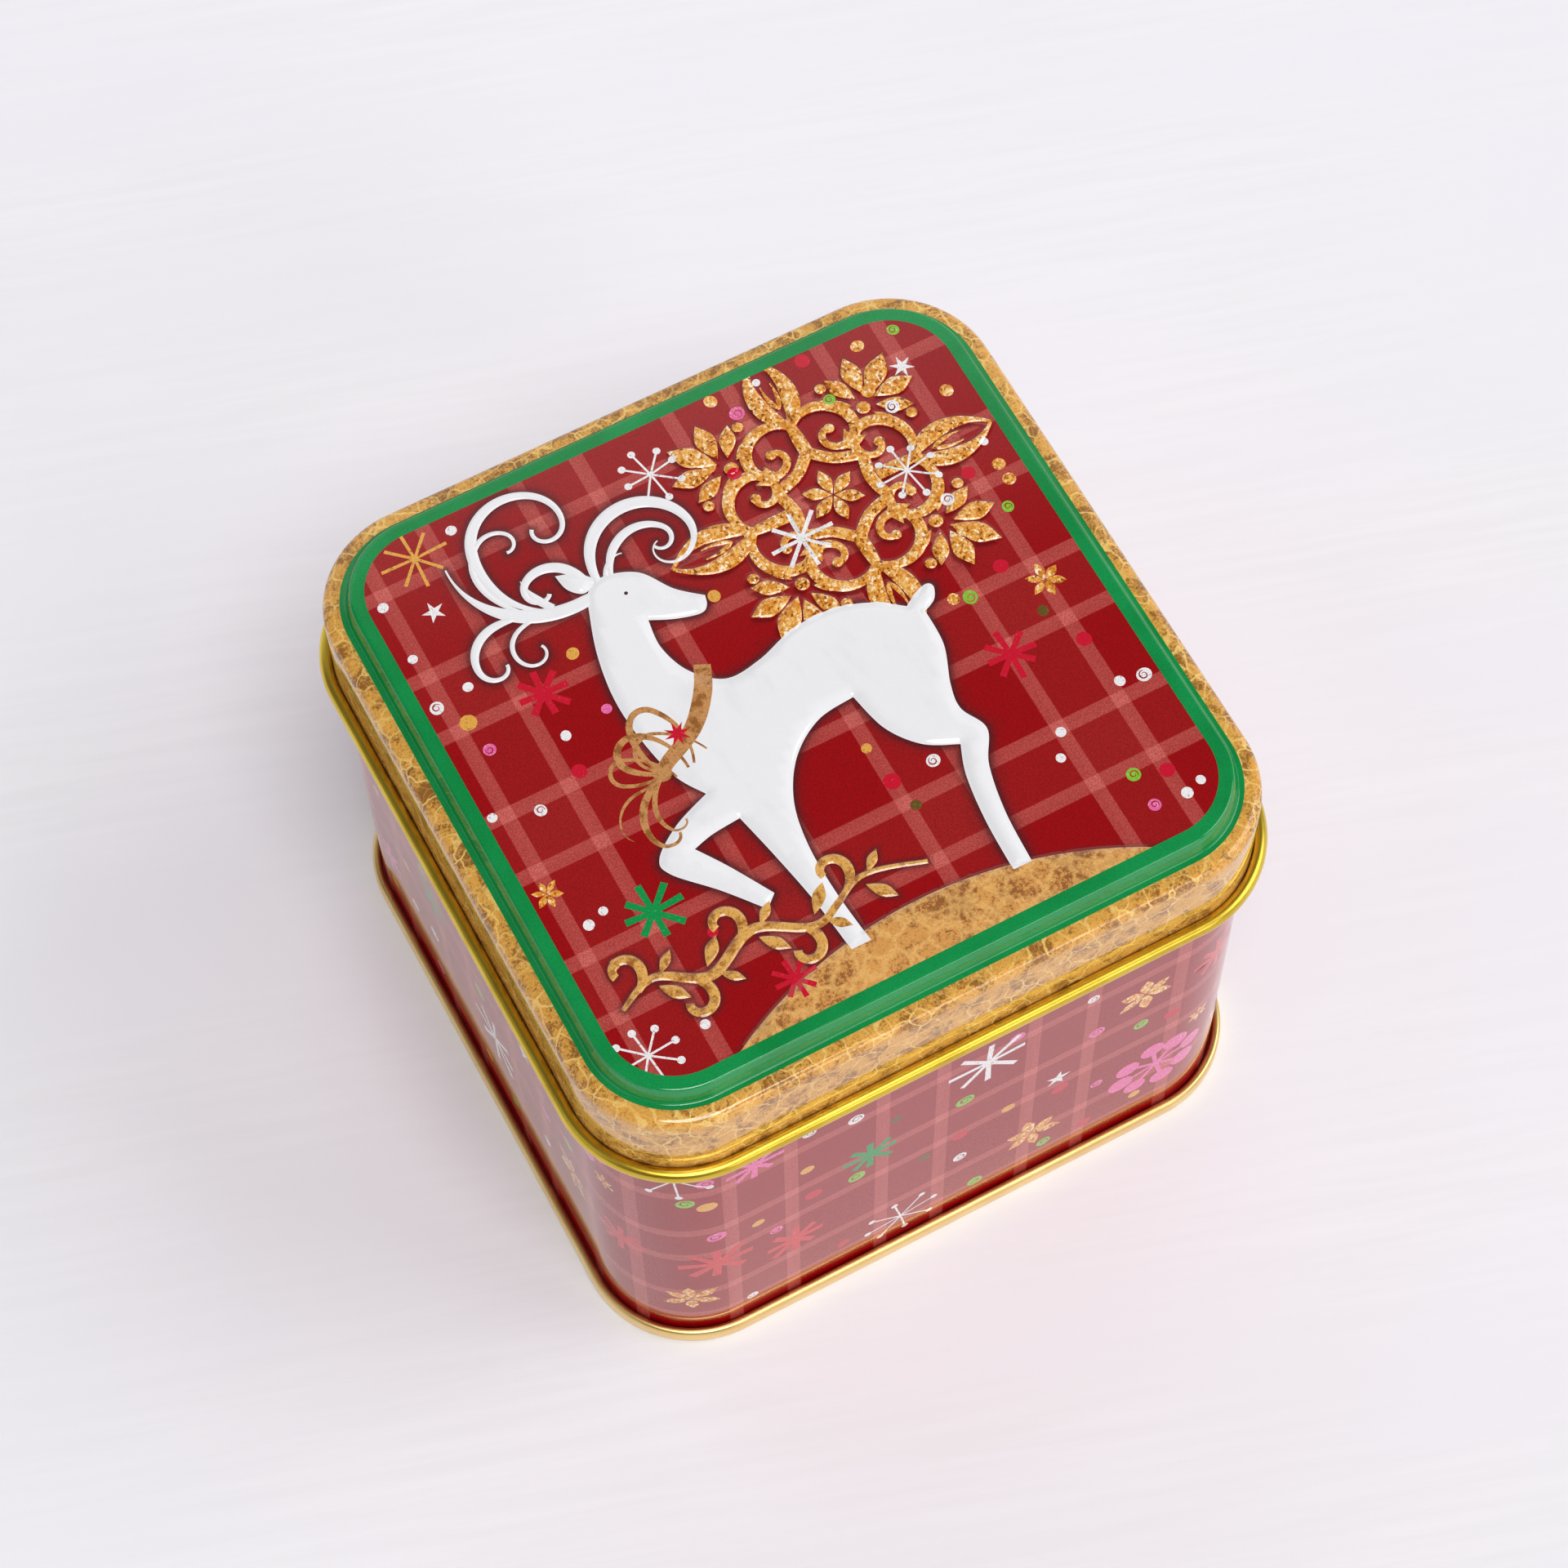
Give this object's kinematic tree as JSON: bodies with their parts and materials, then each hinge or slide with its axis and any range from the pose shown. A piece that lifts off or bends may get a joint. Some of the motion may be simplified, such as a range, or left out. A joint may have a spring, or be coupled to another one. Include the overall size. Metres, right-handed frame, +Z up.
{
  "type": "square gift tin",
  "caption": "Square tinplate gift tin with rounded corners: a stepped slip lid with a rolled edge over a printed wall, and a base double-seamed to its foot.",
  "frame": {"origin": "centre of the square footprint, on the plane that the foot rests on", "axes": "+Z up, out of the mouth; X and Y square to the flat sides, with the wall's lock seam on the +Y side and the lid's artwork upright along +Y"},
  "size_m": [0.1038, 0.1038, 0.0816],
  "materials": {
    "lid_print": "litho printed and varnished tinplate, gold lacquered inside",
    "wall_print": "litho printed and varnished tinplate, gold lacquered inside",
    "gold_lacquer": "transparent gold lacquer on bright tinplate"
  },
  "bodies": {
    "tin_body": {"body_wall": "wall_print", "base_plate": "gold_lacquer"},
    "lid": {"lid": "lid_print"}
  },
  "joints": [
    {"name": "lid_lift", "type": "slide", "parent": "tin_body", "child": "lid", "axis": [0, 0, 1], "range_m": [0, 0.1]}
  ]
}
